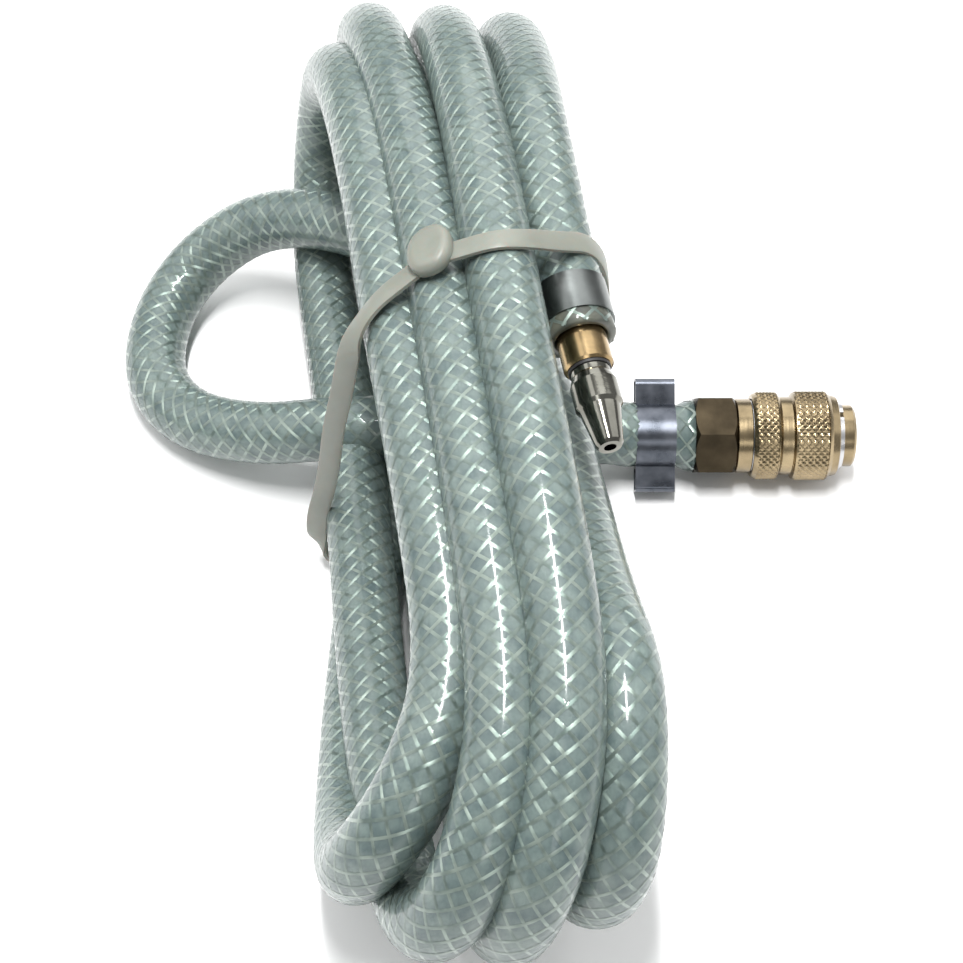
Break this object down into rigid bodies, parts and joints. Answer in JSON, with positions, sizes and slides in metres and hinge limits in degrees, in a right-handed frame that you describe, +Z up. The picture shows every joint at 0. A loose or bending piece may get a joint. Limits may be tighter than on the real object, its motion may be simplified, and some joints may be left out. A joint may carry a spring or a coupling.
{
  "type": "braided hose assembly with quick coupling",
  "caption": "Clear braid-reinforced hose wound in an oval hank and tied, with a ball-lock quick-coupling socket on one end and a nosed plug on the other",
  "frame": {"origin": "under the middle of the whole object, on the surface it lies on", "axes": "+Z up, the hank is long along Y, and the socket points along +X"},
  "size_m": [0.1808, 0.25, 0.1018],
  "materials": {
    "hose": "clear plastic over pale yarn",
    "brass": "turned",
    "nickel": "plated",
    "steel": "zinc plated",
    "spring_steel": "drawn wire",
    "ball_steel": "polished",
    "seal": "moulded",
    "tie": "natural nylon"
  },
  "bodies": {
    "hose": {"hose_coil": "hose", "hose_loop": "hose", "hose_plug_tail": "hose", "socket_tail": "brass", "socket_body": "brass", "retaining_ring": "steel", "tail_seal": "seal", "plug_seal_ring": "seal", "socket_clamp": "steel", "sleeve_spring": "spring_steel", "valve_spring": "spring_steel", "plug_tail": "brass", "plug_nose": "nickel", "nose_seal": "seal", "plug_ferrule": "steel", "tie_strap": "tie", "tie_head": "tie"},
    "sleeve": {"knurled_sleeve": "brass"},
    "poppet": {"valve_poppet": "brass", "poppet_seal": "seal"},
    "ball_1": {"ball_1": "ball_steel"},
    "ball_2": {"ball_2": "ball_steel"},
    "ball_3": {"ball_3": "ball_steel"},
    "ball_4": {"ball_4": "ball_steel"}
  },
  "joints": [
    {"name": "sleeve_slide", "type": "slide", "parent": "hose", "child": "sleeve", "axis": [-1, 0, 0], "range_m": [0, 0.003], "stiffness_N_per_m": 2500, "springref_m": -0.002, "deforming": ["sleeve_spring"]},
    {"name": "poppet_slide", "type": "slide", "parent": "hose", "child": "poppet", "axis": [-1, 0, 0], "range_m": [0, 0.004], "stiffness_N_per_m": 1500, "springref_m": -0.002, "deforming": ["valve_spring"]},
    {"name": "ball_1_slide", "type": "slide", "parent": "hose", "child": "ball_1", "axis": [0, -0.7071, 0.7071], "range_m": [0, 0.0009]},
    {"name": "ball_2_slide", "type": "slide", "parent": "hose", "child": "ball_2", "axis": [0, -0.7071, -0.7071], "range_m": [0, 0.0009]},
    {"name": "ball_3_slide", "type": "slide", "parent": "hose", "child": "ball_3", "axis": [0, 0.7071, -0.7071], "range_m": [0, 0.0009]},
    {"name": "ball_4_slide", "type": "slide", "parent": "hose", "child": "ball_4", "axis": [0, 0.7071, 0.7071], "range_m": [0, 0.0009]}
  ],
  "couplings": [
    {"joint": "ball_1_slide", "follows": "sleeve_slide", "ratio": 0.3},
    {"joint": "ball_2_slide", "follows": "sleeve_slide", "ratio": 0.3},
    {"joint": "ball_3_slide", "follows": "sleeve_slide", "ratio": 0.3},
    {"joint": "ball_4_slide", "follows": "sleeve_slide", "ratio": 0.3}
  ]
}
